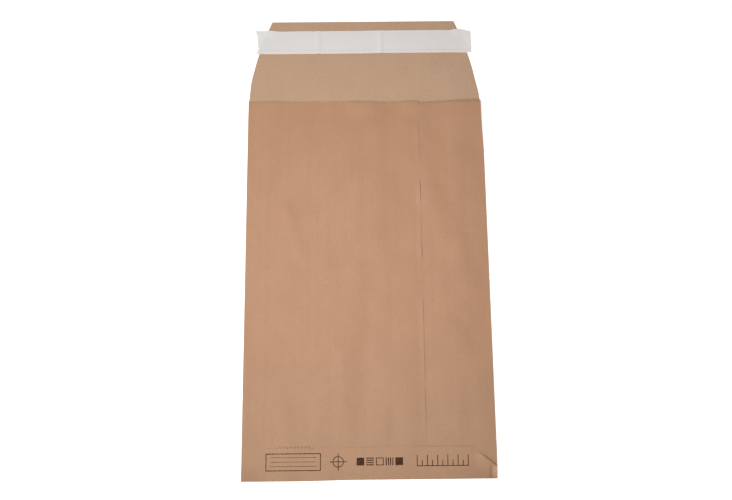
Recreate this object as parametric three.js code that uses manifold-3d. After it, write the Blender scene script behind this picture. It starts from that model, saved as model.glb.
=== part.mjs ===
// Kraft paper mailing bag, lying on its plain panel with the closing flap open.
// One sheet is folded into a flat tube, lapped and glued along the front, and closed at the
// bottom by a flap that is folded up over the front and glued there. The back panel runs on
// past the mouth as the closing flap, with an adhesive strip under a release liner.
// Millimetres, +Z up. X runs across the bag and Y from the bottom fold to the flap's end.
import * as THREE from 'three';
import { mergeVertices } from 'three/addons/utils/BufferGeometryUtils.js';
import Module from 'manifold-3d';

// Bag body
const BAG_WIDTH = 250; // over the side folds
const BAG_LENGTH = 400; // bottom fold to mouth
const PAPER = 0.2; // thickness of the sheet
const FOLD_GAP = 1; // air inside a pressed side fold
const CROWN = 1.8; // rise of the front panel at the middle, above the side folds
const MOUTH_GAPE = 0.9; // rise of the front panel at the middle of the mouth
const GLUE_BITE = 0.05; // how far two glued plies press into each other

// Lap seam on the front: the left wing lies on the right wing
const SEAM_FROM_RIGHT = 67; // free edge of the left wing, from the right side fold
const SEAM_LAP = 20; // width of the glued lap
const PLY_RAMP = 3; // length over which a ply climbs onto another

// Toothed cut of the mouth and of the bottom flap
const TOOTH_PITCH = 3.6;
const TOOTH_DEPTH = 1.2;
const RIGHT_CUT_AT_SEAM = -2.3; // height of the right wing's slanting cut over the mouth line
const RIGHT_CUT_AT_SIDE = 1;

// Bottom flap, folded up over the front
const BOTTOM_FLAP_LENGTH = 33.5;
const BOTTOM_FLAP_INSET = 1; // from each side fold
const BOTTOM_CORNER_ACROSS = 24; // mitred corners, along the flap's edge
const BOTTOM_CORNER_UP = 13; // bottom fold to the mitred corners

// Closing flap
const FLAP_LENGTH = 94; // mouth to the flap's straight end
const FLAP_SHOULDER = 1.2; // step in from the side folds at the mouth
const FLAP_LEAN = THREE.MathUtils.degToRad(5); // lean of the sides at the mouth
const FLAP_SIDE_RADIUS = 295;
const FLAP_CORNER_RADIUS = 3;

// Adhesive strip and release liner across the inside of the closing flap
const LINER_WIDTH = 26.7;
const LINER_OVERHANG = 2.8; // past the flap's sides, at the liner's near edge
const LINER_PAPER = 0.1;
const LINER_FROM_MOUTH = 56.5; // mouth to the liner's near edge
const LINER_CURL = 1.2; // lift of the liner's free ends, past the adhesive
const ADHESIVE_THICKNESS = 0.15;
const ADHESIVE_MARGIN = 3; // from the liner's long edges
const ADHESIVE_INSET = 5; // from the flap's curved sides

// Fineness of the sheets
const FOLD_STEPS = 6; // facets round a side fold or the bottom fold
const FRONT_STEP = 14; // facets across the front panel
const ROW_STEP = 26; // facets along the bag
const CURL_STEPS = 4; // facets along each lifted end of the liner
const ARC_POINTS = 10; // facets along a curved side of the closing flap

// Lines that follow from the sizes
const bottomY = -(BAG_LENGTH + FLAP_LENGTH) / 2;
const mouthY = bottomY + BAG_LENGTH;
const flapEndY = mouthY + FLAP_LENGTH;
const sideX = BAG_WIDTH / 2;
const foldRadius = FOLD_GAP / 2 + PAPER; // outside of the side folds
const foldX = sideX - foldRadius; // axis of the side folds
const frontTop = 2 * foldRadius; // outside of the front panel along the side folds
const plyLift = PAPER - GLUE_BITE; // height that a glued ply adds
const bottomRadius = (frontTop + plyLift) / 2; // outside of the bottom fold
const panelBottomY = bottomY + bottomRadius; // where the flat of the panels ends
const bottomFlapEndY = bottomY + BOTTOM_FLAP_LENGTH;
const seamX = sideX - SEAM_FROM_RIGHT;
const lapX = seamX - SEAM_LAP;
const linerY = mouthY + LINER_FROM_MOUTH;
const adhesiveTop = PAPER + ADHESIVE_THICKNESS;
const jointLap = 4 * PAPER; // overlap of sheets that are one piece of paper
const trimReach = TOOTH_DEPTH + frontTop + CROWN + PAPER; // clear of the folded paper

const wasm = await Module();
wasm.setup();

// A closed geometry as a solid that can be joined and cut
function solidOf(geometry) {
  geometry.deleteAttribute('normal');
  geometry.deleteAttribute('uv');
  const merged = mergeVertices(geometry);
  return new wasm.Manifold(new wasm.Mesh({
    numProp: 3,
    vertProperties: Float32Array.from(merged.attributes.position.array),
    triVerts: Uint32Array.from(merged.index.array),
  }));
}

function geometryOf(solid) {
  const { vertProperties, triVerts } = solid.getMesh();
  const geometry = new THREE.BufferGeometry();
  geometry.setAttribute('position', new THREE.BufferAttribute(vertProperties, 3));
  geometry.setIndex(new THREE.BufferAttribute(triVerts, 1));
  geometry.computeVertexNormals();
  return geometry;
}

// Evenly spaced values from start to end, no further apart than step
function spaced(start, end, step) {
  const count = Math.ceil(Math.abs(end - start) / step);
  return Array.from({ length: count + 1 }, (_, i) => THREE.MathUtils.lerp(start, end, i / count));
}

// A bent sheet. place(column, row) gives a point of its middle surface, as `at`, and the
// direction of its thickness there, as `out`, which is columns crossed with rows.
function bentSheet(columns, rows, thickness, place) {
  const acrossSteps = columns.length - 1;
  const alongSteps = rows.length - 1;
  const sheet = new THREE.BoxGeometry(1, 1, 1, acrossSteps, alongSteps, 1);
  const vertices = sheet.attributes.position;
  for (let i = 0; i < vertices.count; i += 1) {
    const column = columns[Math.round((vertices.getX(i) + 0.5) * acrossSteps)];
    const row = rows[Math.round((vertices.getY(i) + 0.5) * alongSteps)];
    const { at, out } = place(column, row);
    const point = at.addScaledVector(out, vertices.getZ(i) * thickness);
    vertices.setXYZ(i, point.x, point.y, point.z);
  }
  return sheet;
}

// A flat sheet of the given outline, from z upwards
function flatSheet(outline, z, thickness) {
  const options = { depth: thickness, bevelEnabled: false, curveSegments: ARC_POINTS };
  return new THREE.ExtrudeGeometry(outline, options).translate(0, 0, z);
}

// A block of the given outline, tall enough to trim any sheet of the bag to it
function trimBlock(points) {
  return solidOf(flatSheet(new THREE.Shape(points), -trimReach, 3 * trimReach));
}

// Points of a toothed cut from startX to endX, with its tips on the line from startY to endY
function toothedCut(startX, startY, endX, endY) {
  const teeth = Math.max(1, Math.round(Math.abs(endX - startX) / TOOTH_PITCH));
  return Array.from({ length: 2 * teeth + 1 }, (_, i) => {
    const share = i / (2 * teeth);
    const tipY = THREE.MathUtils.lerp(startY, endY, share);
    return new THREE.Vector2(
      THREE.MathUtils.lerp(startX, endX, share),
      i % 2 === 0 ? tipY : tipY - TOOTH_DEPTH,
    );
  });
}

// Rise of the front panel above its side folds: flat at the sides and under the bottom flap
function crownAt(x, y) {
  const across = Math.cos((Math.PI * x) / (2 * foldX)) ** 2;
  const middleY = (bottomFlapEndY + mouthY) / 2;
  const belly = THREE.MathUtils.smoothstep(y, bottomFlapEndY, middleY);
  const towardsMouth = THREE.MathUtils.smoothstep(y, middleY, mouthY);
  return across * THREE.MathUtils.lerp(belly * CROWN, MOUTH_GAPE, towardsMouth);
}

// Rise of what lies on the right wing, where the left wing climbs onto it
function lapLiftAt(x) {
  return plyLift * THREE.MathUtils.clamp((x - lapX + PLY_RAMP) / PLY_RAMP, 0, 1);
}

// Rise of the bottom flap over the lap seam, down again past the seam's free edge
function bottomFlapLiftAt(x) {
  return x <= seamX ? lapLiftAt(x) : lapLiftAt(lapX - (x - seamX));
}

// Section of a side fold with a little of the back panel and its wing of the front. `inward`
// is measured from the fold's axis to the bag's middle, `angle` is that of the paper's outside.
function wingSection(frontInward) {
  const quarter = Math.PI / 2;
  const bends = spaced(-quarter, quarter, Math.PI / FOLD_STEPS);
  return [
    { inward: jointLap, angle: -quarter },
    ...bends.map((angle) => ({ inward: 0, angle })),
    ...frontInward.map((inward) => ({ inward, angle: quarter })),
  ];
}

// One wing of the front with its side fold. side is -1 for left and 1 for right, liftAt raises
// it across the front, and cut is its edge at the mouth, from left to right.
function wing(side, frontXs, liftAt, cut) {
  const stations = wingSection(frontXs.map((x) => foldX - side * x));
  if (side > 0) stations.reverse();
  const uncutY = Math.max(...cut.map(({ y }) => y)) + TOOTH_DEPTH;
  const rows = [
    ...spaced(panelBottomY, bottomFlapEndY, ROW_STEP),
    ...spaced(bottomFlapEndY, uncutY, ROW_STEP).slice(1),
  ];
  const middleRadius = foldRadius - PAPER / 2;
  const front = Math.PI / 2;
  const geometry = bentSheet(stations, rows, PAPER, ({ inward, angle }, y) => {
    const out = new THREE.Vector3(side * Math.cos(angle), 0, Math.sin(angle));
    const at = new THREE.Vector3(side * (foldX - inward), y, foldRadius);
    at.addScaledVector(out, middleRadius);
    if (angle === front) at.z += crownAt(at.x, y) + liftAt(at.x);
    return { at, out };
  });
  const right = cut.at(-1).x;
  const left = cut[0].x;
  const lowY = bottomY - trimReach;
  const keep = [new THREE.Vector2(left, lowY), new THREE.Vector2(right, lowY), ...cut.toReversed()];
  return solidOf(geometry).intersect(trimBlock(keep));
}

function leftWing() {
  const frontXs = [
    ...spaced(-foldX, lapX - PLY_RAMP, FRONT_STEP).slice(1),
    ...spaced(lapX, seamX, FRONT_STEP),
  ];
  const cut = toothedCut(-sideX - TOOTH_DEPTH, mouthY, seamX + TOOTH_DEPTH, mouthY);
  return wing(-1, frontXs, lapLiftAt, cut);
}

// The right wing's cut slants: it falls below the mouth line towards the seam
function rightWing() {
  const frontXs = [
    ...spaced(foldX, seamX, FRONT_STEP).slice(1),
    ...spaced(seamX, lapX, FRONT_STEP).slice(1),
  ];
  const cutY = (x) => mouthY + THREE.MathUtils.mapLinear(
    x, seamX, sideX, RIGHT_CUT_AT_SEAM, RIGHT_CUT_AT_SIDE,
  );
  const startX = lapX - TOOTH_DEPTH;
  const endX = sideX + TOOTH_DEPTH;
  return wing(1, frontXs, () => 0, toothedCut(startX, cutY(startX), endX, cutY(endX)));
}

// Half width of the closing flap at a height above the mouth, and its curved side's circle
const flapBaseX = sideX - FLAP_SHOULDER;
const flapCentreX = flapBaseX - FLAP_SIDE_RADIUS * Math.cos(FLAP_LEAN);
const flapCentreY = mouthY - FLAP_SIDE_RADIUS * Math.sin(FLAP_LEAN);

function flapHalfWidth(y) {
  return flapCentreX + Math.sqrt(FLAP_SIDE_RADIUS ** 2 - (y - flapCentreY) ** 2);
}

// Back panel with the closing flap
function backSheet() {
  const cornerY = flapEndY - FLAP_CORNER_RADIUS;
  const cornerReach = FLAP_SIDE_RADIUS - FLAP_CORNER_RADIUS;
  const cornerX = flapCentreX + Math.sqrt(cornerReach ** 2 - (cornerY - flapCentreY) ** 2);
  const cornerAngle = Math.atan2(cornerY - flapCentreY, cornerX - flapCentreX);
  const up = Math.PI / 2;
  const outline = new THREE.Shape();
  outline.moveTo(-foldX, panelBottomY);
  outline.lineTo(foldX, panelBottomY);
  outline.lineTo(foldX, mouthY);
  outline.absarc(flapCentreX, flapCentreY, FLAP_SIDE_RADIUS, FLAP_LEAN, cornerAngle);
  outline.absarc(cornerX, cornerY, FLAP_CORNER_RADIUS, cornerAngle, up);
  outline.absarc(-cornerX, cornerY, FLAP_CORNER_RADIUS, up, Math.PI - cornerAngle);
  outline.absarc(
    -flapCentreX, flapCentreY, FLAP_SIDE_RADIUS, Math.PI - cornerAngle, Math.PI - FLAP_LEAN,
  );
  outline.lineTo(-foldX, mouthY);
  return solidOf(flatSheet(outline, 0, PAPER));
}

// Bottom flap: out of the back panel, round the bottom fold and up over the front, trimmed to
// mitred corners and a toothed edge
function bottomFlap() {
  const halfWidth = sideX - BOTTOM_FLAP_INSET;
  const columns = [
    ...spaced(-halfWidth, lapX - PLY_RAMP, FRONT_STEP),
    ...spaced(lapX, seamX, FRONT_STEP),
    ...spaced(seamX + PLY_RAMP, halfWidth, FRONT_STEP),
  ];
  const quarter = Math.PI / 2;
  const bends = spaced(-quarter, quarter, Math.PI / FOLD_STEPS);
  const rows = [
    { up: jointLap, angle: -quarter },
    ...bends.map((angle) => ({ up: 0, angle })),
    { up: bottomFlapEndY - panelBottomY + TOOTH_DEPTH, angle: quarter },
  ];
  const geometry = bentSheet(columns, rows, PAPER, (x, { up, angle }) => {
    const out = new THREE.Vector3(0, -Math.cos(angle), Math.sin(angle));
    const at = new THREE.Vector3(x, panelBottomY + up, bottomRadius);
    at.addScaledVector(out, bottomRadius - PAPER / 2);
    at.z += (bottomFlapLiftAt(x) * (1 + Math.sin(angle))) / 2;
    return { at, out };
  });
  const edgeX = halfWidth - BOTTOM_CORNER_ACROSS;
  const cornerY = bottomY + BOTTOM_CORNER_UP;
  const lowY = bottomY - trimReach;
  const keep = [
    new THREE.Vector2(-sideX, lowY),
    new THREE.Vector2(sideX, lowY),
    new THREE.Vector2(sideX, cornerY),
    new THREE.Vector2(halfWidth, cornerY),
    ...toothedCut(edgeX, bottomFlapEndY, -edgeX, bottomFlapEndY),
    new THREE.Vector2(-halfWidth, cornerY),
    new THREE.Vector2(-sideX, cornerY),
  ];
  return solidOf(geometry).intersect(trimBlock(keep));
}

function paperBag() {
  return geometryOf(backSheet().add(leftWing()).add(rightWing()).add(bottomFlap()));
}

// Adhesive strip: its ends follow the closing flap's curved sides
const adhesiveNearY = linerY + ADHESIVE_MARGIN;
const adhesiveFarY = linerY + LINER_WIDTH - ADHESIVE_MARGIN;
const adhesiveNearX = flapHalfWidth(adhesiveNearY) - ADHESIVE_INSET;
const adhesiveFarX = flapHalfWidth(adhesiveFarY) - ADHESIVE_INSET;

function adhesiveStrip() {
  const outline = new THREE.Shape([
    new THREE.Vector2(-adhesiveNearX, adhesiveNearY),
    new THREE.Vector2(adhesiveNearX, adhesiveNearY),
    new THREE.Vector2(adhesiveFarX, adhesiveFarY),
    new THREE.Vector2(-adhesiveFarX, adhesiveFarY),
  ]);
  return flatSheet(outline, PAPER, ADHESIVE_THICKNESS);
}

// Release liner: a straight strip, stuck down in the middle, whose free ends lift
function releaseLiner() {
  const endX = flapHalfWidth(linerY) + LINER_OVERHANG;
  const curlX = adhesiveNearX;
  const curlReach = endX - curlX;
  const curlStep = curlReach / CURL_STEPS;
  const columns = [...spaced(-endX, -curlX, curlStep), ...spaced(curlX, endX, curlStep)];
  const rows = [linerY, linerY + LINER_WIDTH];
  const out = new THREE.Vector3(0, 0, 1);
  return bentSheet(columns, rows, LINER_PAPER, (x, y) => {
    const free = Math.max(0, Math.abs(x) - curlX) / curlReach;
    const z = adhesiveTop + LINER_PAPER / 2 + LINER_CURL * free ** 2;
    return { at: new THREE.Vector3(x, y, z), out };
  });
}

const kraft = new THREE.MeshStandardMaterial({ color: 0xbd9373, roughness: 0.85, metalness: 0 });
const glue = new THREE.MeshStandardMaterial({ color: 0xe6dcc4, roughness: 0.4, metalness: 0 });
const liner = new THREE.MeshStandardMaterial({ color: 0xd9d5d2, roughness: 0.5, metalness: 0 });

function piece(name, geometry, material) {
  const mesh = new THREE.Mesh(geometry, material);
  mesh.name = name;
  return mesh;
}

const mailingBag = new THREE.Group();
mailingBag.add(
  piece('paper_bag', paperBag(), kraft),
  piece('adhesive_strip', adhesiveStrip(), glue),
  piece('release_liner', releaseLiner(), liner),
);

export default mailingBag;
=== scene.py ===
# Looks of a kraft paper mailing bag that lies on its plain panel with its closing flap open:
# the folded sheet, the release liner over the adhesive strip, and printer's marks in brown ink.
# Metres, +Z up. X runs across the bag and Y from the bottom fold to the flap's end.
import math
import random

import bmesh
import bpy
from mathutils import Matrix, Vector


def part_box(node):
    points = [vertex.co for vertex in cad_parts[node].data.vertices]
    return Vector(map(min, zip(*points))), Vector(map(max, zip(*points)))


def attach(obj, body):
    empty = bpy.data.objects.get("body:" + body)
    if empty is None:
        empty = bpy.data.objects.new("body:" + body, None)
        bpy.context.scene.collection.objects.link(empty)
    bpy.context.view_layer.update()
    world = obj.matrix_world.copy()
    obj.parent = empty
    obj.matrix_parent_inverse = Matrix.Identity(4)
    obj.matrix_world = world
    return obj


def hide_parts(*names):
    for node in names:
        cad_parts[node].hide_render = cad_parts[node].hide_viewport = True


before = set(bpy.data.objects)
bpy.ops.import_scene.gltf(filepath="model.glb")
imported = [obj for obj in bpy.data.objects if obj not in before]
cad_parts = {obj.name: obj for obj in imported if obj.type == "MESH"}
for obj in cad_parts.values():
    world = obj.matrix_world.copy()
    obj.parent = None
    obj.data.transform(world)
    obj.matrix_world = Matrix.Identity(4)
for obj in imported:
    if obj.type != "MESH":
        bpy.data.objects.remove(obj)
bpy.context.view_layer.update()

# Sheet of the bag
PAPER = 0.0002
PLY_RISE = 0.00022  # from one glued ply to the next
FOLD_RADIUS = 0.0006  # middle of the paper round a side fold
FOLD_STEPS = 8
TOOTH_PITCH = 0.0036
TOOTH_DEPTH = 0.0024
COLUMN = TOOTH_PITCH / 2  # so that every second column ends in a tip
ROW = 0.004
SMOOTH_ANGLE = math.radians(40)  # edges that turn more stay sharp
TINY = 0.00001  # for picking vertices by their place
FAR = 1  # past the bag, for a range that is open at one end

# Lap seam and slanting cut of the right wing
SEAM_FROM_RIGHT = 0.068
SEAM_LAP = 0.020
LAP_STEPS = 5  # in which a ply climbs onto another
LAP_STEP = 0.003
RIGHT_CUT_AT_SEAM = -0.0018
RIGHT_CUT_AT_SIDE = 0.0007

# Pressed folds: the share of their height that is left, and the reach of the press
SIDE_PRESS = 0.55
SIDE_PRESS_REACH = 0.030
BOTTOM_PRESS = 0.35
BOTTOM_PRESS_REACH = 0.034

# Bottom flap
BOTTOM_FLAP_LENGTH = 0.0335
BOTTOM_FLAP_ROWS = 16
BOTTOM_FLAP_PROUD = 0.0002  # its ends stand out past the side folds' axes
BOTTOM_EDGE_INSET = 0.028  # from the side folds to the ends of the toothed edge
BOTTOM_CORNER_UP = 0.0106

# Toothed edge of the bottom flap: glued down, but for a stretch that has sprung up behind its tips
TEETH_BAND = 1.5 * TOOTH_DEPTH  # strip along the edge that is pressed or lifted whole
TEETH_REACH = 0.006
TEETH_PRESS = 0.00005
LOOSE_TEETH = (-0.088, -0.058)
LOOSE_TEETH_LIFT = 0.0009
LOOSE_TIPS_DROP = 0.0008

# Right corner of the bottom flap: the mitre springs up, and past a crease the end strip is bent up
MITRE_SPRING_FROM = (0.114, -0.2274)
MITRE_SPRING_TO = (0.124, -0.2356)
MITRE_SPRING_WIDTH = 0.0015
MITRE_SPRING = 0.0016
MITRE_SPRING_REACH = 0.011
CREASE_X = 0.1195
CREASE_TOP = -0.236
CREASE_END = -0.246
CREASE_DEPTH = 0.0003
CREASE_REACH = 0.003
END_STRIP_TOP = -0.237
END_STRIP_MOVE = (-0.0003, 0, 0.0010)
END_STRIP_REACH = 0.0045

# Closing flap
FLAP_LENGTH = 0.094
FLAP_ROWS = 24
FLAP_SHOULDER = 0.0012  # step in from the bag's sides at the mouth
FLAP_LEAN = math.radians(5)  # how far its sides lean in there
FLAP_SIDE_RADIUS = 0.295
FLAP_CORNER_RADII = ((-1, 0.0015), (1, 0.003))  # left and right
FLAP_CORNER_CUTS = (20, 40, 60)  # degrees round a corner

# Lines that follow from the frame and the sizes
bag_low, bag_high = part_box("paper_bag")
side_x = bag_high.x
bottom_y = bag_low.y
flap_end_y = bag_high.y
mouth_y = flap_end_y - FLAP_LENGTH
fold_x = side_x - FOLD_RADIUS - PAPER / 2
back_z = PAPER / 2
front_z = back_z + 2 * FOLD_RADIUS
bottom_fold_radius = (front_z + PLY_RISE - back_z) / 2
panel_bottom_y = bottom_y + bottom_fold_radius + PAPER / 2
bottom_flap_end_y = bottom_y + BOTTOM_FLAP_LENGTH
seam_x = side_x - SEAM_FROM_RIGHT
lap_x = seam_x - SEAM_LAP
back_column = 2 * fold_x / round(2 * fold_x / COLUMN)
liner_low, liner_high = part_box("release_liner")
liner_end_x = liner_high.x

# Soft swells of the front, each along a line from one place to another, with its reach and height
SWELLS = (
    ((0.000, -0.120), (0.000, 0.060), 0.095, 0.0010),
    ((-0.072, 0.153), (0.040, 0.153), 0.040, -0.0007),
    ((-0.006, 0.060), (-0.010, -0.030), 0.026, 0.0008),
    ((-0.012, -0.040), (-0.026, -0.190), 0.018, 0.0007),
    ((-0.054, 0.070), (-0.050, -0.010), 0.024, -0.0005),
    ((0.044, 0.060), (0.042, -0.014), 0.028, -0.0010),
    ((0.068, 0.045), (0.108, -0.055), 0.020, 0.0009),
    ((0.088, -0.050), (0.084, -0.215), 0.030, 0.0008),
    ((-0.005, -0.110), (-0.005, -0.205), 0.013, -0.0005),
    ((0.036, -0.120), (0.036, -0.205), 0.024, 0.0006),
    ((-0.084, -0.020), (-0.078, -0.150), 0.024, 0.0004),
    ((0.010, 0.125), (0.012, -0.002), 0.012, 0.0004),
    ((-0.083, 0.028), (-0.068, -0.020), 0.012, 0.0010),
    ((-0.035, -0.035), (-0.035, -0.114), 0.010, 0.0006),
    ((-0.030, -0.114), (-0.026, -0.175), 0.010, 0.0006),
    ((-0.112, -0.180), (-0.048, -0.182), 0.020, 0.0010),
    ((0.016, -0.178), (0.015, -0.208), 0.009, 0.0006),
    ((0.100, 0.112), (0.104, 0.065), 0.016, 0.0004),
    ((0.092, -0.085), (0.112, -0.115), 0.010, -0.0004),
    ((0.110, -0.150), (0.113, -0.205), 0.014, 0.0006),
)

# Small swells at random places, up and down in turn
COCKLES = 36
COCKLE_SEED = 4
COCKLE_MOST_X = 0.110
COCKLE_MARGIN = 0.02  # from the mouth and the bottom fold
COCKLE_SLANT = 0.006
COCKLE_LENGTH = (0.010, 0.060)
COCKLE_REACH = (0.006, 0.014)
COCKLE_HEIGHT = 0.00012

# Where the mouth's edge springs up: from and to, the reach and the height
MOUTH_LIFTS = (
    (-0.130, -0.092, 0.010, 0.0004),
    (-0.012, 0.002, 0.018, 0.0013),
    (0.047, 0.058, 0.016, 0.0011),
    (0.112, 0.130, 0.056, 0.0026),
)
MOUTH_EDGE = 0.006  # strip along the mouth that is lifted whole
LIFT_DRAWS_BACK = 0.5  # share of its height that a lifted edge draws back from the mouth

# Right corner of the mouth: a short strip of its fold is drawn in, so that the corner is blunt
MOUTH_CORNER = 0.002
MOUTH_CORNER_DRAW = 0.0009
MOUTH_CORNER_REACH = 0.007

# Where the seam's edge springs up or is pressed in: the middle of the place, half its length, the height
SEAM_LIFTS = (
    (0.140, 0.012, -0.00008),
    (0.106, 0.018, 0.00028),
    (0.077, 0.005, -0.00008),
    (0.050, 0.010, 0.00080),
    (0.033, 0.004, -0.00006),
    (0.010, 0.012, 0.00024),
    (-0.015, 0.005, 0.00090),
    (-0.040, 0.018, -0.00010),
    (-0.081, 0.010, 0.00050),
    (-0.126, 0.024, 0.00036),
    (-0.179, 0.013, 0.00030),
    (-0.205, 0.012, -0.00010),
)
SEAM_LIFT_REACH = 0.006

# How the outline has settled: ranges of x and y, the move across and along, its reach, and any one part
OUTLINE_MOVES = (
    # The right side bows out, but less at the bottom corner
    ((fold_x - TINY, FAR), (-0.250, 0.090), (0.0015, 0), 0.050),
    ((fold_x - TINY, FAR), (-FAR, -0.240), (-0.0005, 0), 0.010),
    # The left side bows out
    ((-FAR, -fold_x + TINY), (-0.235, 0.135), (-0.0005, 0), 0.030),
    # The closing flap leans left, and its left side stands out near the mouth
    ((-FAR, FAR), (mouth_y + 0.026, FAR), (-0.0010, 0), 0.022, "closing_flap"),
    ((-FAR, -0.10), (mouth_y + 0.004, mouth_y + 0.022), (-0.0006, 0), 0.018, "closing_flap"),
    # The closing flap's end, the bottom fold's left end and most of the left wing's teeth stand out
    ((-FAR, FAR), (flap_end_y - TINY, FAR), (0, 0.0005), 0.020),
    ((-FAR, -0.070), (-FAR, panel_bottom_y + 0.004), (0, -0.0008), 0.060),
    ((-fold_x, -0.014), (mouth_y - TOOTH_DEPTH - TINY, FAR), (0, 0.0006), 0.015, "left_wing"),
)

# Release liner, on the adhesive
LINER_PAPER = 0.0001
LINER_COLUMN = 0.002
LINER_ROWS = 14
LINER_EDGE_DROP = 0.00008  # of its long edges, past the adhesive
LINER_CURL = 0.0008  # of its free ends
LINER_CURL_REACH = 0.012
LINER_WAVES = ((-1, 0.0008), (1, 0.0014))  # how far the upper edge waves out, left and right
LINER_WAVE_X = 0.104  # where it does so, at the flap's sides
LINER_WAVE_RISE = 0.0008
LINER_WAVE_REACH = 0.009
LINER_CREASES = ((-0.050, 0.0008), (0.018, 0.0009))  # place along the strip and height
LINER_CREASE_REACH = 1.5 * LINER_COLUMN

# How the liner's cut edges run: ranges of x and y, the move and its reach
LINER_MOVES = (
    # Upper left corner
    ((-FAR, -liner_end_x + TINY), (liner_high.y - TINY, FAR), (-0.0024, 0.0003, 0.0012), 0.010),
    # Hollow in the left end, and the corner below it
    ((-FAR, -liner_end_x + TINY), (liner_low.y + 0.003, liner_low.y + 0.007), (0.0008, 0, 0), 0.005),
    ((-FAR, -liner_end_x + LINER_COLUMN / 2), (-FAR, liner_low.y + TINY), (-0.0020, 0, 0), 0.006),
    # Right end, its upper corner and its lower corner
    ((liner_end_x - TINY, FAR), (-FAR, FAR), (0.0007, 0, 0), 0.012),
    ((liner_end_x - TINY, FAR), (liner_high.y - TINY, FAR), (-0.0004, -0.0012, 0), 0.010),
    ((liner_end_x - TINY, FAR), (-FAR, liner_low.y + TINY), (0, -0.0004, 0), 0.014),
    # Left half of the lower edge, and a stretch of the upper edge
    ((-FAR, 0), (-FAR, liner_low.y + TINY), (0, -0.0004, 0), 0.020),
    ((0.010, 0.085), (liner_high.y - TINY, FAR), (0, 0.0003, 0), 0.020),
)

# Printer's marks on the bottom flap, laid on the paper as a film of ink
INK_FILM = 0.00002
INK_LINE = 0.0008
INK_CELL = 0.002  # spacing of the film's vertices, so that it follows the paper
MARKS_Y = -0.2295  # middle of the row
ABOVE_BAG = 0.01  # from where the marks are pressed down onto the paper
WRITING_PANEL = {"left": -0.101, "width": 0.054, "height": 0.017, "lines": 3}
REGISTER_CROSS = {"x": -0.030, "radius": 0.0055}
CROSS_REACH = 1.5  # of its arms, in radii
RING_SIDES = 40
DENSITY_SQUARES = {"left": -0.012, "size": 0.0075, "gap": 0.002}
SQUARE_RULES = 4
SCALE = {"left": 0.047, "spacing": 0.005, "count": 10}

# Paper formation: each noise's spots in a metre along X, Y and Z, its turn in degrees and its detail
CLOUDS = ((38, 26, 38), 0, 4)
GRAIN = ((420, 300, 420), 0, 2)
STREAKS = ((210, 3, 210), 0, 3)
FIBRES_ALONG = ((1500, 260, 800), 12, 1)
FIBRES_ACROSS = ((330, 1400, 800), -20, 1)
SPECKS = ((700, 380, 700), 35, 1)
LAYERS = ("Cloud", "Grain", "Fibre", "Streak")  # each has a strength in each paper, in this order
MIDDLE_TONE = 0.5
FIBRES_MIDDLE = 0.58  # mean of the stronger of both fibre noises
FLECK_FROM_TO = (0.70, 0.80)  # the specks' peaks are flecks
TONE_SPAN = (0.2, 0.8)  # range of the tone over which the roughness changes
BUMP_DISTANCE = 0.0001

# Kraft paper: linear colour, roughness where pale and where dark, gloss, and strengths of the layers
KRAFT_OUTSIDE = {
    "colour": (0.461, 0.248, 0.141),
    "roughness": (0.54, 0.66),
    "gloss": 0.40,
    "strengths": (0.25, 0.20, 0.20, 0.12),
}
KRAFT_INSIDE = {
    "colour": (0.509, 0.331, 0.218),
    "roughness": (0.78, 0.88),
    "gloss": 0.2,
    "strengths": (0.25, 0.25, 0.25, 0.06),
}
KRAFT_SHADES = (0.72, 1.28)
KRAFT_BUMP = 0.12
FLECK_SHADE = 0.55
FLECK_STRENGTH = 0.35

# Tints of the bottom end, and where each fades in: greyer towards the bottom, painted shade along its
# fold and at its corners, a painted highlight on the end strip past the crease, and painted shade along
# the crease
# Greyer towards the bottom end
BOTTOM_GREY_TINT = (0.985, 1.035, 1.065)
GREY_FADE_Y = (-0.10, -0.20)
# Painted shade along the bottom fold, most at its corners
PAINTED_FOLD_SHADE = (0.87, 0.87, 0.86)
DARK_FADE_Y = (bottom_y + 0.022, bottom_y + 0.002)
DARK_LEFT_X = (-0.085, -0.125)
DARK_RIGHT_X = (0.050, 0.110)
DARK_BETWEEN = 0.3  # share of it between the corners
# Painted highlight on the end strip past the crease, where it is bent up towards the light
PAINTED_STRIP_HIGHLIGHT = (1.28, 1.30, 1.32)
PALE_FADE_X = (CREASE_X + 0.0005, CREASE_X + 0.0045)
PALE_AT_FOLD = 0.3  # share of it at the bottom fold
BELOW_MITRE_Y = (-0.2340, -0.2365)
# Painted shade along the crease
PAINTED_CREASE_SHADE = (0.82, 0.81, 0.80)
CREASE_FADE_LEFT_X = (CREASE_X - 0.0035, CREASE_X)
CREASE_FADE_RIGHT_X = (CREASE_X + 0.002, CREASE_X)

# Liner paper, with the adhesive's edge showing through as a grey line below which it is warmer
LINER_WHITE = (0.753, 0.721, 0.697)
LINER_SHADES = (0.93, 1.07)
LINER_STRENGTHS = (0.5, 0.25, 0.2, 0.0)
LINER_ROUGHNESS = (0.55, 0.42)
LINER_GLOSS = 0.4
LINER_BUMP = 0.05
ADHESIVE_EDGE_Y = liner_low.y + 0.003
LINER_MARGIN = (0.785, 0.700, 0.642)
MARGIN_FADE_Y = (ADHESIVE_EDGE_Y, ADHESIVE_EDGE_Y - 0.0006)
LINER_LINE = (0.580, 0.590, 0.610)
LINE_STRENGTH = 0.5
LINE_FADE_LOW_Y = (ADHESIVE_EDGE_Y, ADHESIVE_EDGE_Y + 0.0004)
LINE_FADE_HIGH_Y = (ADHESIVE_EDGE_Y + 0.0014, ADHESIVE_EDGE_Y + 0.0006)
LINER_TOP_SHADE = 1.1  # along its upper edge
TOP_STRENGTH = 0.6
TOP_FADE_Y = (liner_high.y - 0.0016, liner_high.y - 0.0008)
# Painted light: paler past the flap's sides, as if the floor's light showed through the thin liner
LINER_PAINTED_LIGHT = (1.07, 1.07, 1.07)
OVER_FLOOR_FADE = 0.004  # past the flap's sides

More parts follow.
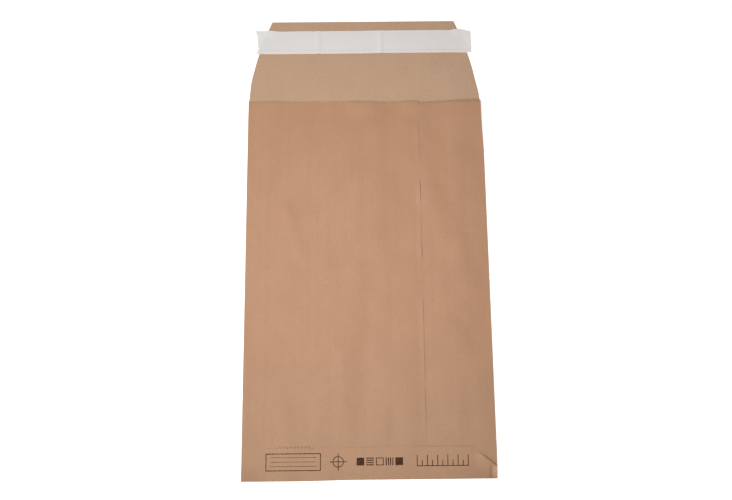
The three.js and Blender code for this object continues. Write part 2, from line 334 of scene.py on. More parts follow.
# Adhesive
GLUE_YELLOW = (0.70, 0.62, 0.45)
GLUE_SHADES = (0.85, 1.15)
GLUE_STREAKS = ((12, 900, 12), 0, 3)
GLUE_BUBBLES = ((1600, 1600, 1600), 0, 1)
BUBBLE_SPAN = (0.3, 0.7)
GLUE_ROUGHNESS = (0.2, 0.4)
GLUE_BUMP = 0.3

# Ink
INK_BROWN = (0.058, 0.023, 0.009)
INK_STRENGTHS = (0.3, 0.9, 0.9, 0.0)
INK_THIN_SPAN = (0.5, 0.85)
INK_THIN_STRENGTH = 0.5
INK_THIN_SHADE = 0.6  # of the paper that shows through
INK_ROUGHNESS = (0.6, 0.75)
INK_GLOSS = 0.15

# Stage: floor, light and camera
FLOOR_SIZE = 30
FLOOR_WHITE = (0.90, 0.90, 0.90, 1)
FLOOR_ROUGHNESS = 0.9
FLOOR_GLOW = 0.6  # as seen, without lighting the bag
SKY_WHITE = (1, 1, 1, 1)
SKY_STRENGTH = 0.12
SKY_SEEN = 0.65
OVERHEAD_SOFTBOX = {"place": (-0.064, 0.03, 0.52), "size": 0.4, "power": 2.25}
FRONT_SOFTBOX = {"place": (-0.9, -1.2, 1.2), "size": 0.3, "power": 18}
CAMERA_PLACE = (-0.0077, -0.3286, 1.0927)
CAMERA_TURN = (16.078, -0.203, -0.615)  # degrees
CAMERA_LENS = 54.09


# Modelling by hand

def start_piece(name):
    """Names the primitive that was just added and opens it in edit mode at its own place."""
    piece = bpy.context.object
    piece.name = name
    piece.data.name = name
    bpy.ops.object.transform_apply(location=True, rotation=True, scale=True)
    bpy.ops.object.mode_set(mode="EDIT")
    return piece


def add_grid(width, length, columns, rows, middle):
    bpy.ops.object.select_all(action="DESELECT")
    bpy.ops.mesh.primitive_grid_add(x_subdivisions=columns, y_subdivisions=rows, size=1, location=middle)
    bpy.context.object.scale = (width, length, 1)


def anywhere(place):
    return True


def pick(piece, wanted, *parts):
    """Selects the shown vertices at places that wanted accepts, of the named parts or of all."""
    bpy.ops.mesh.select_mode(type="VERT")
    bpy.ops.mesh.select_all(action="DESELECT")
    mesh = bmesh.from_edit_mesh(piece.data)
    layer = mesh.verts.layers.deform.verify()
    groups = {piece.vertex_groups[part].index for part in parts}
    for vertex in mesh.verts:
        in_part = not groups or not groups.isdisjoint(vertex[layer].keys())
        if in_part and not vertex.hide and wanted(vertex.co):
            vertex.select = True
    mesh.select_flush_mode()
    bmesh.update_edit_mesh(piece.data)


def hide(piece, wanted, *parts):
    """Hides paper that the next soft moves leave alone."""
    pick(piece, wanted, *parts)
    bpy.ops.mesh.hide()


def show_all():
    bpy.ops.mesh.reveal(select=False)


def mark_part(piece, part):
    """Puts the selected vertices in the vertex group of one part, and in no other."""
    group = piece.vertex_groups.new(name=part)
    piece.vertex_groups.active_index = group.index
    bpy.ops.object.vertex_group_remove_from(use_all_groups=True)
    bpy.ops.object.vertex_group_assign()


def move(offset):
    bpy.ops.transform.translate(value=offset)


def move_softly(offset, reach):
    """Moves the selection and, fading out over the reach, the shown paper round it."""
    bpy.ops.transform.translate(
        value=offset,
        use_proportional_edit=True,
        proportional_edit_falloff="SMOOTH",
        proportional_size=reach,
    )


def push(piece, x_range, y_range, offset, reach, *parts):
    """Softly moves what lies inside ranges of x and y, of the named parts or of all."""
    left, right = x_range
    low, high = y_range
    pick(piece, lambda p: left < p.x < right and low < p.y < high, *parts)
    move_softly(offset, reach)


def press_softly(share, reach):
    """Presses the selection towards the back panel and, fading out over the reach, what is round it."""
    bpy.ops.transform.resize(
        value=(1, 1, share),
        center_override=(0, 0, back_z),
        use_proportional_edit=True,
        proportional_edit_falloff="SMOOTH",
        proportional_size=reach,
    )


def extend(offset, steps):
    """Extrudes the selected edge by an offset, in equal steps."""
    step = [part / steps for part in offset]
    for _ in range(steps):
        bpy.ops.mesh.extrude_region_move(TRANSFORM_OT_translate={"value": step})


def on_odd_column(x, start_x, column):
    return round((x - start_x) / column) % 2 == 1


def near_line(place, start, end, distance):
    """Whether a place is within a distance of the line from start to end, seen from above."""
    line = Vector(end) - Vector(start)
    along = (place.xy - Vector(start)).dot(line) / line.length_squared
    nearest = Vector(start) + line * min(1, max(0, along))
    return (place.xy - nearest).length < distance


def apply_modifier(piece, kind, **settings):
    modifier = piece.modifiers.new(kind.lower(), kind)
    for name, value in settings.items():
        setattr(modifier, name, value)
    bpy.context.view_layer.objects.active = piece
    bpy.ops.object.modifier_apply(modifier=modifier.name)


# The folded sheet

def add_back_panel():
    length = mouth_y - panel_bottom_y
    middle = (0, (mouth_y + panel_bottom_y) / 2, back_z)
    add_grid(2 * fold_x, length, round(2 * fold_x / COLUMN), round(length / ROW), middle)
    bag = start_piece("folded_bag")
    bpy.ops.mesh.select_all(action="SELECT")
    mark_part(bag, "back")
    return bag


def add_wing(bag, part, side, edge_x):
    """Folds a wing up round a side fold and over the front to edge_x. side is -1 for the left."""
    pick(bag, lambda p: side * p.x > fold_x - TINY, "back")
    centre = (side * fold_x, 0, back_z + FOLD_RADIUS)
    bpy.ops.mesh.spin(steps=FOLD_STEPS, angle=-side * math.pi, center=centre, axis=(0, 1, 0))
    reach = edge_x - side * fold_x
    extend((reach, 0, 0), round(abs(reach) / COLUMN))
    pick(bag, lambda p: p.z > back_z + TINY, "back")
    mark_part(bag, part)


def cut_left_wing(bag):
    """Cuts the left wing's teeth and lifts its edge onto the right wing."""
    column = (seam_x + fold_x) / round((seam_x + fold_x) / COLUMN)

    def in_notch(p):
        return p.y > mouth_y - TINY and p.x > -fold_x - TINY and on_odd_column(p.x, -fold_x, column)

    pick(bag, in_notch, "left_wing")
    move((0, -TOOTH_DEPTH, 0))
    for step in range(LAP_STEPS):
        pick(bag, lambda p: p.x > lap_x - step * LAP_STEP, "left_wing")
        move((0, 0, PLY_RISE / LAP_STEPS))


def cut_right_wing(bag):
    """Cuts the right wing's teeth along a slant that falls below the mouth line towards the seam."""
    column = (fold_x - lap_x) / round((fold_x - lap_x) / COLUMN)
    slope = (RIGHT_CUT_AT_SIDE - RIGHT_CUT_AT_SEAM) / SEAM_FROM_RIGHT

    def cut_y(x):
        return mouth_y + RIGHT_CUT_AT_SEAM + slope * (x - seam_x)

    pick(bag, lambda p: p.y > mouth_y - TINY and p.z > back_z + FOLD_RADIUS, "right_wing")
    move((0, TOOTH_DEPTH, 0))
    pick(bag, lambda p: p.y > mouth_y - 2 * ROW and p.z > back_z + FOLD_RADIUS, "right_wing")
    place = (seam_x, cut_y(seam_x), 0)
    bpy.ops.mesh.bisect(plane_co=place, plane_no=(-slope, 1, 0), clear_outer=True)

    def in_notch(p):
        on_cut = p.y > cut_y(p.x) - TINY and p.x < fold_x + TINY
        return on_cut and on_odd_column(p.x, fold_x, -column)

    pick(bag, in_notch, "right_wing")
    move((0, -TOOTH_DEPTH, 0))


def add_bottom_flap(bag):
    """Folds the back panel's end up over the front, with mitred corners and a toothed edge."""
    pick(bag, lambda p: p.y < panel_bottom_y + TINY and p.z < back_z + TINY, "back")
    centre = (0, panel_bottom_y, back_z + bottom_fold_radius)
    bpy.ops.mesh.spin(steps=FOLD_STEPS, angle=math.pi, center=centre, axis=(1, 0, 0))
    extend((0, bottom_flap_end_y - panel_bottom_y, 0), BOTTOM_FLAP_ROWS)
    pick(bag, lambda p: p.z > back_z + TINY, "back")
    mark_part(bag, "bottom_flap")

    def in_notch(p):
        return p.y > bottom_flap_end_y - TINY and on_odd_column(p.x, -fold_x, back_column)

    pick(bag, in_notch, "bottom_flap")
    move((0, -TOOTH_DEPTH, 0))
    for side in (-1, 1):
        pick(bag, lambda p: side * p.x > fold_x - TINY, "bottom_flap")
        move((side * BOTTOM_FLAP_PROUD, 0, 0))
        pick(bag, lambda p: p.y > panel_bottom_y + TINY, "bottom_flap")
        corner_y = bottom_y + BOTTOM_CORNER_UP
        normal = Vector((side * (bottom_flap_end_y - corner_y), BOTTOM_EDGE_INSET, 0)).normalized()
        bpy.ops.mesh.bisect(plane_co=(side * side_x, corner_y, 0), plane_no=normal, clear_outer=True)
    for step in range(LAP_STEPS):
        left = lap_x - (step + 1) * LAP_STEP
        right = seam_x + COLUMN + step * LAP_STEP / 2
        pick(bag, lambda p: left < p.x < right and p.z > front_z, "bottom_flap")
        move((0, 0, PLY_RISE / LAP_STEPS))


def flap_half_width(y):
    """Half the closing flap's width between the arcs of its sides."""
    centre_x = side_x - FLAP_SHOULDER - FLAP_SIDE_RADIUS * math.cos(FLAP_LEAN)
    centre_y = mouth_y - FLAP_SIDE_RADIUS * math.sin(FLAP_LEAN)
    return centre_x + math.sqrt(FLAP_SIDE_RADIUS ** 2 - (y - centre_y) ** 2)


def add_closing_flap(bag):
    """Runs the back panel on past the mouth, row by row between curved sides, and rounds its corners."""
    pick(bag, lambda p: p.y > mouth_y - TINY and p.z < back_z + TINY, "back")
    half_width = fold_x
    row = FLAP_LENGTH / FLAP_ROWS
    shoulder_row = row / FLAP_ROWS
    y = mouth_y
    for step in [shoulder_row, row - shoulder_row] + [row] * (FLAP_ROWS - 1):
        y += step
        bpy.ops.mesh.extrude_region_move(TRANSFORM_OT_translate={"value": (0, step, 0)})
        ratio = flap_half_width(y) / half_width
        bpy.ops.transform.resize(value=(ratio, 1, 1), center_override=(0, y, back_z))
        half_width = flap_half_width(y)
    pick(bag, lambda p: p.y > mouth_y + TINY, "back")
    mark_part(bag, "closing_flap")
    for side, radius in FLAP_CORNER_RADII:
        corner_y = flap_end_y - radius
        corner = Vector((side * (flap_half_width(corner_y) - radius), corner_y, 0))
        for degrees in FLAP_CORNER_CUTS:
            angle = math.radians(degrees)
            outward = Vector((side * math.sin(angle), math.cos(angle), 0))
            pick(bag, lambda p: p.y > corner_y - 2 * row and side * p.x > 0, "closing_flap")
            bpy.ops.mesh.bisect(plane_co=corner + outward * radius, plane_no=outward, clear_outer=True)


def swell(bag, start, end, reach, height):
    pick(bag, lambda p: near_line(p, start, end, COLUMN))
    move_softly((0, 0, height), reach)


def shape_front(bag):
    """Swells the front and the bottom flap on it, between the folds."""
    hide(bag, anywhere, "back", "closing_flap")
    hide(bag, lambda p: abs(p.x) > fold_x - TINY or p.y < panel_bottom_y + TINY)
    for start, end, reach, height in SWELLS:
        swell(bag, start, end, reach, height)
    chance = random.Random(COCKLE_SEED)
    for number in range(COCKLES):
        x = chance.uniform(-COCKLE_MOST_X, COCKLE_MOST_X)
        y = chance.uniform(panel_bottom_y + COCKLE_MARGIN, mouth_y - COCKLE_MARGIN)
        end = (x + chance.uniform(-COCKLE_SLANT, COCKLE_SLANT), y - chance.uniform(*COCKLE_LENGTH))
        height = COCKLE_HEIGHT if number % 2 else -COCKLE_HEIGHT
        swell(bag, (x, y), end, chance.uniform(*COCKLE_REACH), height)
    show_all()


def lift_seam(bag):
    """Lets the glued edge spring up here and there along the seam."""
    hide(bag, anywhere, "back", "closing_flap", "right_wing", "bottom_flap")
    for middle, half, height in SEAM_LIFTS:
        pick(bag, lambda p: p.x > seam_x - TINY and abs(p.y - middle) < half, "left_wing")
        move_softly((0, 0, height), SEAM_LIFT_REACH)
    show_all()


def press_folds(bag):
    """Presses the side folds and the bottom fold flat, so that the front slopes down to them."""
    for side in (-1, 1):
        pick(bag, lambda p: side * p.x > fold_x - TINY)
        press_softly(SIDE_PRESS, SIDE_PRESS_REACH)
    pick(bag, lambda p: p.y < panel_bottom_y + TINY)
    press_softly(BOTTOM_PRESS, BOTTOM_PRESS_REACH)


def lift_mouth(bag):
    """Opens the mouth here and there, most of all at the right fold, and blunts that corner."""
    hide(bag, anywhere, "back", "closing_flap", "bottom_flap")
    hide(bag, lambda p: p.z < back_z + FOLD_RADIUS * SIDE_PRESS)
    for start, end, reach, height in MOUTH_LIFTS:
        offset = (0, -LIFT_DRAWS_BACK * height, height)
        push(bag, (start, end), (mouth_y - MOUTH_EDGE, FAR), offset, reach)
    show_all()
    corner_y = (mouth_y - MOUTH_CORNER, FAR)
    push(bag, (fold_x, FAR), corner_y, (-MOUTH_CORNER_DRAW, 0, 0), MOUTH_CORNER_REACH, "right_wing")


def shape_bottom_flap(bag):
    """Springs up the right mitre and a stretch of the toothed edge, and creases the right corner."""
    hide(bag, anywhere, "back", "closing_flap", "left_wing", "right_wing")
    hide(bag, lambda p: p.y < panel_bottom_y + TINY)
    pick(bag, lambda p: near_line(p, MITRE_SPRING_FROM, MITRE_SPRING_TO, MITRE_SPRING_WIDTH))
    move_softly((0, 0, MITRE_SPRING), MITRE_SPRING_REACH)
    pick(bag, lambda p: near_line(p, (CREASE_X, CREASE_TOP), (CREASE_X, CREASE_END), COLUMN / 2))
    move_softly((0, 0, -CREASE_DEPTH), CREASE_REACH)
    push(bag, (fold_x - COLUMN / 2, FAR), (-FAR, END_STRIP_TOP), END_STRIP_MOVE, END_STRIP_REACH)
    teeth_y = (bottom_flap_end_y - TEETH_BAND, FAR)
    push(bag, (-FAR, FAR), teeth_y, (0, 0, -TEETH_PRESS), TEETH_REACH)
    push(bag, LOOSE_TEETH, teeth_y, (0, 0, LOOSE_TEETH_LIFT), TEETH_REACH)
    left, right = LOOSE_TEETH
    pick(bag, lambda p: p.y > bottom_flap_end_y - TINY and left < p.x < right)
    move((0, 0, -LOOSE_TIPS_DROP))
    show_all()


def settle_outline(bag):
    """Lets the sides bow out and the closing flap lean, as the bag lies."""
    for x_range, y_range, (across, along), reach, *parts in OUTLINE_MOVES:
        push(bag, x_range, y_range, (across, along, 0), reach, *parts)


def give_thickness(bag, outside, inside):
    """Turns the faces outwards and makes the sheet solid, with one material on each side."""
    bag.data.materials.append(outside)
    bag.data.materials.append(inside)
    bpy.ops.mesh.select_all(action="SELECT")
    bpy.ops.mesh.normals_make_consistent(inside=False)

    def from_origin(face):
        middle = face.calc_center_median()
        return middle.xy.length + middle.z

    back_face = min(bmesh.from_edit_mesh(bag.data).faces, key=from_origin)
    if back_face.normal.z > 0:
        bpy.ops.mesh.flip_normals()
    bpy.ops.object.mode_set(mode="OBJECT")
    apply_modifier(bag, "SOLIDIFY", thickness=PAPER, offset=0, material_offset=1)
    bpy.ops.object.shade_smooth_by_angle(angle=SMOOTH_ANGLE)


def make_bag(outside, inside):
    bag = add_back_panel()
    add_wing(bag, "left_wing", -1, seam_x)
    cut_left_wing(bag)
    add_wing(bag, "right_wing", 1, lap_x)
    cut_right_wing(bag)
    add_bottom_flap(bag)
    add_closing_flap(bag)
    shape_front(bag)
    lift_seam(bag)
    press_folds(bag)
    lift_mouth(bag)
    shape_bottom_flap(bag)
    settle_outline(bag)
    give_thickness(bag, outside, inside)
    return bag


# The release liner

def make_liner(paper):
    adhesive_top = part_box("adhesive_strip")[1].z
    width = liner_high.x - liner_low.x
    length = liner_high.y - liner_low.y
    x = (liner_low.x + liner_high.x) / 2
    y = (liner_low.y + liner_high.y) / 2
    middle = (x, y, adhesive_top + LINER_PAPER / 2 + TINY)
    add_grid(width, length, round(width / LINER_COLUMN), LINER_ROWS, middle)
    liner = start_piece("liner_strip")
    for side, edge_y in ((-1, liner_low.y), (1, liner_high.y)):
        pick(liner, lambda p: side * (p.y - edge_y) > -TINY)
        move((0, 0, -LINER_EDGE_DROP))
    for side, wave in LINER_WAVES:
        pick(liner, lambda p: side * p.x > liner_end_x - TINY)
        move_softly((0, 0, LINER_CURL), LINER_CURL_REACH)
        pick(liner, lambda p: abs(side * p.x - LINER_WAVE_X) < LINER_COLUMN and p.y > liner_high.y - TINY)
        move_softly((0, wave, LINER_WAVE_RISE), LINER_WAVE_REACH)
    for x_range, y_range, offset, reach in LINER_MOVES:
        push(liner, x_range, y_range, offset, reach)
    for crease_x, height in LINER_CREASES:
        pick(liner, lambda p: abs(p.x - crease_x) < LINER_COLUMN / 2)
        move_softly((0, 0, height), LINER_CREASE_REACH)
    bpy.ops.object.mode_set(mode="OBJECT")
    apply_modifier(liner, "SOLIDIFY", thickness=LINER_PAPER, offset=0)
    bpy.ops.object.shade_smooth_by_angle(angle=SMOOTH_ANGLE)
    liner.data.materials.append(paper)
    return liner


# The printer's marks

def add_bar(left, low, width, height):
    middle = (left + width / 2, low + height / 2, ABOVE_BAG)
    add_grid(width, height, math.ceil(width / INK_CELL), math.ceil(height / INK_CELL), middle)
    return [bpy.context.object]


def add_ring(x, y, radius):
    bpy.ops.object.select_all(action="DESELECT")
    bpy.ops.mesh.primitive_circle_add(vertices=RING_SIDES, radius=radius, location=(x, y, ABOVE_BAG))
    ring = bpy.context.object
    bpy.ops.object.mode_set(mode="EDIT")
    bpy.ops.mesh.extrude_edges_move()
    inner = (radius - INK_LINE) / radius
    bpy.ops.transform.resize(value=(inner, inner, 1), center_override=(x, y, ABOVE_BAG))
    bpy.ops.object.mode_set(mode="OBJECT")
    return [ring]


def add_frame(left, low, width, height):
    inner = height - 2 * INK_LINE
    bars = add_bar(left, low, width, INK_LINE)
    bars += add_bar(left, low + height - INK_LINE, width, INK_LINE)
    bars += add_bar(left, low + INK_LINE, INK_LINE, inner)
    bars += add_bar(left + width - INK_LINE, low + INK_LINE, INK_LINE, inner)
    return bars


def add_writing_panel(left, width, height, lines):
    """A frame with thinner lines to write on."""
    low = MARKS_Y - height / 2
    marks = add_frame(left, low, width, height)
    spacing = height / (lines + 1)
    for line in range(1, lines + 1):
        marks += add_bar(left + spacing, low + line * spacing, width - 2 * spacing, INK_LINE / 2)
    return marks


def add_register_cross(x, radius):
    """A ring with a cross that reaches past it, in bars that meet without lapping."""
    marks = add_ring(x, MARKS_Y, radius)
    reach = CROSS_REACH * radius
    inside = radius - INK_LINE
    half = INK_LINE / 2
    for side in (-1, 1):
        marks += add_bar(x + min(side * radius, side * reach), MARKS_Y - half, reach - radius, INK_LINE)
        marks += add_bar(x - half, MARKS_Y + min(side * radius, side * reach), INK_LINE, reach - radius)
        marks += add_bar(x - half, MARKS_Y + min(side * half, side * inside), INK_LINE, inside - half)
    marks += add_bar(x - inside, MARKS_Y - half, 2 * inside, INK_LINE)
    return marks


def add_density_squares(left, size, gap):
    """Five squares: solid, ruled across, framed, ruled along and solid."""
    low = MARKS_Y - size / 2
    first, second, third, fourth, fifth = (left + number * (size + gap) for number in range(5))
    marks = add_bar(first, low, size, size)
    bar = size / (2 * SQUARE_RULES - 1)
    for number in range(SQUARE_RULES):
        marks += add_bar(second, low + 2 * number * bar, size, bar)
        marks += add_bar(fourth + 2 * number * bar, low, bar, size)
    marks += add_frame(third, low, size, size)
    marks += add_bar(fifth, low, size, size)
    return marks


def add_scale(left, spacing, count):
    """A plain scale: a base line with long and short ticks."""
    low = MARKS_Y - spacing
    marks = add_bar(left, low, count * spacing + INK_LINE, INK_LINE)
    for tick in range(count + 1):
        height = spacing if tick % 2 else 2 * spacing
        marks += add_bar(left + tick * spacing, low + INK_LINE, INK_LINE, height)
    return marks


def turn_up(piece):
    """Turns every face of a flat piece that is open in edit mode to look up."""
    bpy.ops.mesh.select_all(action="SELECT")
    bpy.ops.mesh.normals_make_consistent(inside=False)
    for face in bmesh.from_edit_mesh(piece.data).faces:
        face.select = face.normal.z < 0
    bmesh.update_edit_mesh(piece.data)
    bpy.ops.mesh.flip_normals()


def make_marks(bag, ink):
    marks = add_writing_panel(**WRITING_PANEL)
    marks += add_register_cross(**REGISTER_CROSS)
    marks += add_density_squares(**DENSITY_SQUARES)
    marks += add_scale(**SCALE)
    bpy.ops.object.select_all(action="DESELECT")
    for mark in marks:
        mark.select_set(True)
    bpy.context.view_layer.objects.active = marks[0]
    bpy.ops.object.join()
    film = start_piece("printed_marks")
    turn_up(film)
    bpy.ops.object.mode_set(mode="OBJECT")
    apply_modifier(
        film, "SHRINKWRAP", target=bag, wrap_method="PROJECT", use_project_z=True,
        use_negative_direction=True, use_positive_direction=False, offset=INK_FILM / 2,
    )
    apply_modifier(film, "SOLIDIFY", thickness=INK_FILM, offset=1)
    film.data.materials.append(ink)
    return film


# Nodes

def add_node(tree, kind, inputs=None, **settings):
    node = tree.nodes.new(kind)
    for name, value in settings.items():
        setattr(node, name, value)
    for name, value in (inputs or {}).items():
        if isinstance(value, bpy.types.NodeSocket):
            tree.links.new(value, node.inputs[name])
        else:
            node.inputs[name].default_value = value
    return node


def add_math(tree, operation, first, second):
    return add_node(tree, "ShaderNodeMath", {0: first, 1: second}, operation=operation).outputs[0]


def add_product(tree, first, *others):
    for other in others:
        first = add_math(tree, "MULTIPLY", first, other)
    return first


def add_mix(tree, share, first, second, blend_type="MIX"):
    inputs = {0: share, 6: first, 7: second}
    return add_node(tree, "ShaderNodeMix", inputs, data_type="RGBA", blend_type=blend_type).outputs[2]


def add_tint(tree, share, colour, tint):
    return add_mix(tree, share, colour, tint + (1,), "MULTIPLY")


def add_range(tree, value, from_low, from_high, to_low=0.0, to_high=1.0):
    """Maps a value from one range to another with soft ends."""
    inputs = {"Value": value, 1: from_low, 2: from_high, 3: to_low, 4: to_high}
    return add_node(tree, "ShaderNodeMapRange", inputs, interpolation_type="SMOOTHSTEP").outputs[0]


def add_noise(tree, place, spots, turn, detail):
    """Noise with the given number of spots in a metre along X, Y and Z, turned about Z by degrees."""
    rotation = (0, 0, math.radians(turn))
    turned = add_node(tree, "ShaderNodeMapping", {"Vector": place, "Rotation": rotation})
    spread = add_node(tree, "ShaderNodeMapping", {"Vector": turned.outputs[0], "Scale": spots})
    inputs = {"Vector": spread.outputs[0], "Scale": 1.0, "Detail": detail}
    return add_node(tree, "ShaderNodeTexNoise", inputs).outputs["Fac"]


def add_bump(tree, shader, height, strength):
    inputs = {"Height": height, "Strength": strength, "Distance": BUMP_DISTANCE}
    tree.links.new(add_node(tree, "ShaderNodeBump", inputs).outputs[0], shader.inputs["Normal"])


def shade(colour, share):
    return tuple(part * share for part in colour) + (1,)


def add_shades(tree, tone, colour, shades):
    """A colour that runs from a darker to a paler shade with the tone."""
    dark, pale = shades
    return add_mix(tree, tone, shade(colour, dark), shade(colour, pale))


def new_group(name, inputs, outputs):
    """A shader node group whose first input is a place on the paper and whose others are strengths."""
    group = bpy.data.node_groups.new(name, "ShaderNodeTree")
    group.interface.new_socket("Place", in_out="INPUT", socket_type="NodeSocketVector")
    for label in inputs:
        group.interface.new_socket(label, in_out="INPUT", socket_type="NodeSocketFloat")
    for label in outputs:
        group.interface.new_socket(label, in_out="OUTPUT", socket_type="NodeSocketFloat")
    source = group.nodes.new("NodeGroupInput").outputs
    drain = group.nodes.new("NodeGroupOutput").inputs
    return group, source, drain


def paper_formation():
    """Cloudy formation, grain, crossing fibres and mill streaks of a paper, about a middle tone."""
    group, source, drain = new_group("paper_formation", LAYERS, ("Tone", "Flecks", "Height"))
    place = source["Place"]
    grain = add_noise(group, place, *GRAIN)
    along = add_noise(group, place, *FIBRES_ALONG)
    across = add_noise(group, place, *FIBRES_ACROSS)
    fibre = add_math(group, "MAXIMUM", along, across)
    layers = (
        ("Cloud", add_noise(group, place, *CLOUDS), MIDDLE_TONE),
        ("Grain", grain, MIDDLE_TONE),
        ("Streak", add_noise(group, place, *STREAKS), MIDDLE_TONE),
        ("Fibre", fibre, FIBRES_MIDDLE),
    )
    tone = MIDDLE_TONE
    for label, layer, centre in layers:
        swing = add_math(group, "SUBTRACT", layer, centre)
        tone = add_math(group, "ADD", add_product(group, swing, source[label]), tone)
    group.links.new(tone, drain["Tone"])
    specks = add_noise(group, place, *SPECKS)
    group.links.new(add_range(group, specks, *FLECK_FROM_TO), drain["Flecks"])
    group.links.new(add_math(group, "ADD", fibre, grain), drain["Height"])
    return group


formation = paper_formation()


def add_formation(tree, place, strengths):
    node = add_node(tree, "ShaderNodeGroup", node_tree=formation)
    tree.links.new(place, node.inputs["Place"])
    for label, strength in zip(LAYERS, strengths):
        node.inputs[label].default_value = strength
    return node.outputs


# Materials

def new_material(name):
    material = bpy.data.materials.new(name)
    material.use_nodes = True
    tree = material.node_tree
    return material, tree, tree.nodes["Principled BSDF"]


def add_place(tree):
    return tree.nodes.new("ShaderNodeTexCoord").outputs["Object"]


def add_bottom_grey_and_painted_light(tree, place, colour):
    """Greys the bottom end, paints shade along its fold and at its corners, paints a highlight on the
    strip past the crease and paints shade along the crease.
    """
    parts = add_node(tree, "ShaderNodeSeparateXYZ", {0: place}).outputs
    x, y = parts["X"], parts["Y"]
    greyed = add_tint(tree, add_range(tree, y, *GREY_FADE_Y), colour, BOTTOM_GREY_TINT)
    # Painted shade along the bottom fold, most at its corners
    left = add_range(tree, x, *DARK_LEFT_X)
    right = add_range(tree, x, *DARK_RIGHT_X)
    spread = add_range(tree, add_math(tree, "MAXIMUM", left, right), 0, 1, DARK_BETWEEN, 1)
    dark = add_product(tree, add_range(tree, y, *DARK_FADE_Y), spread)
    darkened = add_tint(tree, dark, greyed, PAINTED_FOLD_SHADE)
    # Painted highlight on the end strip past the crease
    below_mitre = add_range(tree, y, *BELOW_MITRE_Y)
    fading = add_range(tree, y, BELOW_MITRE_Y[1], bottom_y, 1, PALE_AT_FOLD)
    highlit = add_product(tree, add_range(tree, x, *PALE_FADE_X), below_mitre, fading)
    paled = add_tint(tree, highlit, darkened, PAINTED_STRIP_HIGHLIGHT)
    # Painted shade along the crease
    left_of_crease = add_range(tree, x, *CREASE_FADE_LEFT_X)
    right_of_crease = add_range(tree, x, *CREASE_FADE_RIGHT_X)
    crease = add_product(tree, left_of_crease, right_of_crease, below_mitre)
    return add_tint(tree, crease, paled, PAINTED_CREASE_SHADE)


def kraft(name, colour, roughness, gloss, strengths):
    """Brown kraft: a cloudy tone with fibres, dark flecks and a dull, slightly uneven gloss."""
    material, tree, shader = new_material(name)
    place = add_place(tree)
    paper = add_formation(tree, place, strengths)
    base = add_shades(tree, paper["Tone"], colour, KRAFT_SHADES)
    flecks = add_product(tree, paper["Flecks"], FLECK_STRENGTH)
    flecked = add_mix(tree, flecks, base, shade(colour, FLECK_SHADE))
    tree.links.new(add_bottom_grey_and_painted_light(tree, place, flecked), shader.inputs["Base Color"])
    smooth, rough = roughness
    tree.links.new(add_range(tree, paper["Tone"], *TONE_SPAN, rough, smooth), shader.inputs["Roughness"])
    shader.inputs["Specular IOR Level"].default_value = gloss
    add_bump(tree, shader, paper["Height"], KRAFT_BUMP)
    return material


def add_past_flap(tree, x, y):
    """1 where the liner lies past the closing flap's sides, which draw in along the liner's width."""
    flap_side = flap_half_width(liner_low.y)
    taper = (flap_side - flap_half_width(liner_high.y)) / (liner_high.y - liner_low.y)
    aside = add_math(tree, "ABSOLUTE", x, 0)
    drawn_in = add_product(tree, add_math(tree, "SUBTRACT", y, liner_low.y), taper)
    return add_range(tree, add_math(tree, "ADD", aside, drawn_in), flap_side, flap_side + OVER_FLOOR_FADE)


def liner_paper():
    """White siliconised paper, painted paler where it lies on no kraft, as painted light from the floor
    showing through it. The adhesive's edge shows through it.
    """
    material, tree, shader = new_material("liner_paper")
    place = add_place(tree)
    paper = add_formation(tree, place, LINER_STRENGTHS)
    base = add_shades(tree, paper["Tone"], LINER_WHITE, LINER_SHADES)
    parts = add_node(tree, "ShaderNodeSeparateXYZ", {0: place}).outputs
    x, y = parts["X"], parts["Y"]
    warmed = add_mix(tree, add_range(tree, y, *MARGIN_FADE_Y), base, LINER_MARGIN + (1,))
    low = add_range(tree, y, *LINE_FADE_LOW_Y)
    high = add_range(tree, y, *LINE_FADE_HIGH_Y)
    lined = add_mix(tree, add_product(tree, low, high, LINE_STRENGTH), warmed, LINER_LINE + (1,))
    top = add_product(tree, add_range(tree, y, *TOP_FADE_Y), TOP_STRENGTH)
    topped = add_mix(tree, top, lined, shade(LINER_WHITE, LINER_TOP_SHADE))
    # Painted light past the flap's sides, as if the floor's light showed through
    finished = add_tint(tree, add_past_flap(tree, x, y), topped, LINER_PAINTED_LIGHT)
    tree.links.new(finished, shader.inputs["Base Color"])
    roughness = add_range(tree, paper["Tone"], *TONE_SPAN, *LINER_ROUGHNESS)
    tree.links.new(roughness, shader.inputs["Roughness"])
    shader.inputs["Specular IOR Level"].default_value = LINER_GLOSS
    add_bump(tree, shader, paper["Height"], LINER_BUMP)
    return material


def glue():
    """Clear tacky adhesive with a streaky, slightly bubbled skin."""
    material, tree, shader = new_material("glue")
    place = add_place(tree)
    streaks = add_noise(tree, place, *GLUE_STREAKS)
    bubbles = add_noise(tree, place, *GLUE_BUBBLES)
    tree.links.new(add_shades(tree, streaks, GLUE_YELLOW, GLUE_SHADES), shader.inputs["Base Color"])
    tree.links.new(add_range(tree, bubbles, *BUBBLE_SPAN, *GLUE_ROUGHNESS), shader.inputs["Roughness"])
    add_bump(tree, shader, add_math(tree, "ADD", streaks, bubbles), GLUE_BUMP)
    return material


def brown_ink():
    """Thin flexographic ink: the paper's fibres show through it as paler spots."""
    material, tree, shader = new_material("brown_ink")
    paper = add_formation(tree, add_place(tree), INK_STRENGTHS)
    thin = add_product(tree, add_range(tree, paper["Tone"], *INK_THIN_SPAN), INK_THIN_STRENGTH)
    base = add_mix(tree, thin, INK_BROWN + (1,), shade(KRAFT_OUTSIDE["colour"], INK_THIN_SHADE))
    tree.links.new(base, shader.inputs["Base Color"])
    tree.links.new(add_range(tree, paper["Tone"], *TONE_SPAN, *INK_ROUGHNESS), shader.inputs["Roughness"])
    shader.inputs["Specular IOR Level"].default_value = INK_GLOSS
    return material


# The stage

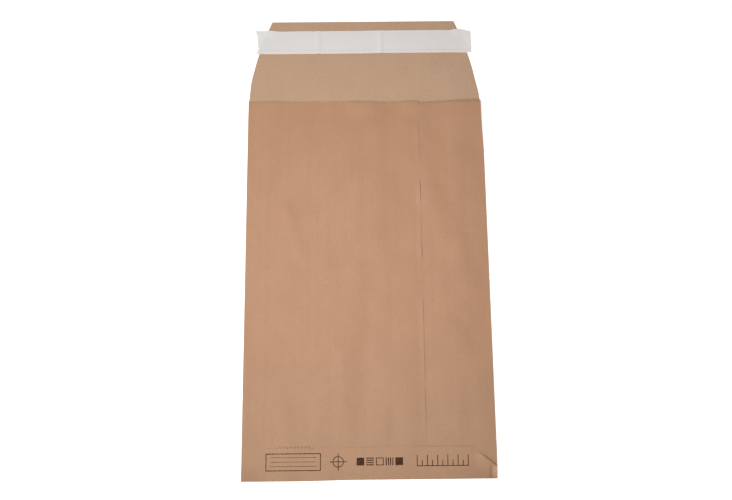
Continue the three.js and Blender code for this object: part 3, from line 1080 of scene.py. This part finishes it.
def add_softbox(name, place, size, power):
    """A square soft light that looks at the origin and isn't seen itself."""
    bpy.ops.object.light_add(type="AREA", location=place)
    light = bpy.context.object
    light.name = name
    light.data.energy = power
    light.data.size = size
    light.rotation_euler = (-Vector(place)).to_track_quat("-Z", "Y").to_euler()
    light.visible_camera = False


def add_seen(tree, as_light, as_seen):
    """One strength for the light that falls on the bag and another for what is seen behind it."""
    seen = tree.nodes.new("ShaderNodeLightPath").outputs["Is Camera Ray"]
    return add_range(tree, seen, 0, 1, as_light, as_seen)


def make_floor():
    bpy.ops.object.select_all(action="DESELECT")
    bpy.ops.mesh.primitive_plane_add(size=FLOOR_SIZE)
    floor = bpy.context.object
    floor.name = "floor"
    material, tree, shader = new_material("floor")
    shader.inputs["Base Color"].default_value = FLOOR_WHITE
    shader.inputs["Roughness"].default_value = FLOOR_ROUGHNESS
    shader.inputs["Emission Color"].default_value = FLOOR_WHITE
    tree.links.new(add_seen(tree, 0, FLOOR_GLOW), shader.inputs["Emission Strength"])
    floor.data.materials.append(material)


def make_sky(scene):
    scene.world = scene.world or bpy.data.worlds.new("sky")
    scene.world.use_nodes = True
    tree = scene.world.node_tree
    background = tree.nodes["Background"].inputs
    background["Color"].default_value = SKY_WHITE
    tree.links.new(add_seen(tree, SKY_STRENGTH, SKY_SEEN), background["Strength"])


def add_camera(scene):
    turn = [math.radians(angle) for angle in CAMERA_TURN]
    bpy.ops.object.camera_add(location=CAMERA_PLACE, rotation=turn)
    scene.camera = bpy.context.object
    scene.camera.data.lens = CAMERA_LENS


# The bag, its liner, its adhesive and its marks

bag = make_bag(kraft("kraft_outside", **KRAFT_OUTSIDE), kraft("kraft_inside", **KRAFT_INSIDE))
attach(bag, "root")
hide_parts("paper_bag")

liner = make_liner(liner_paper())
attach(liner, "root")
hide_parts("release_liner")

marks = make_marks(bag, brown_ink())
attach(marks, "root")

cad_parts["adhesive_strip"].material_slots[0].material = glue()

scene = bpy.context.scene
scene.view_settings.view_transform = "Standard"
make_floor()
make_sky(scene)
add_softbox("overhead_softbox", **OVERHEAD_SOFTBOX)
add_softbox("front_softbox", **FRONT_SOFTBOX)
add_camera(scene)
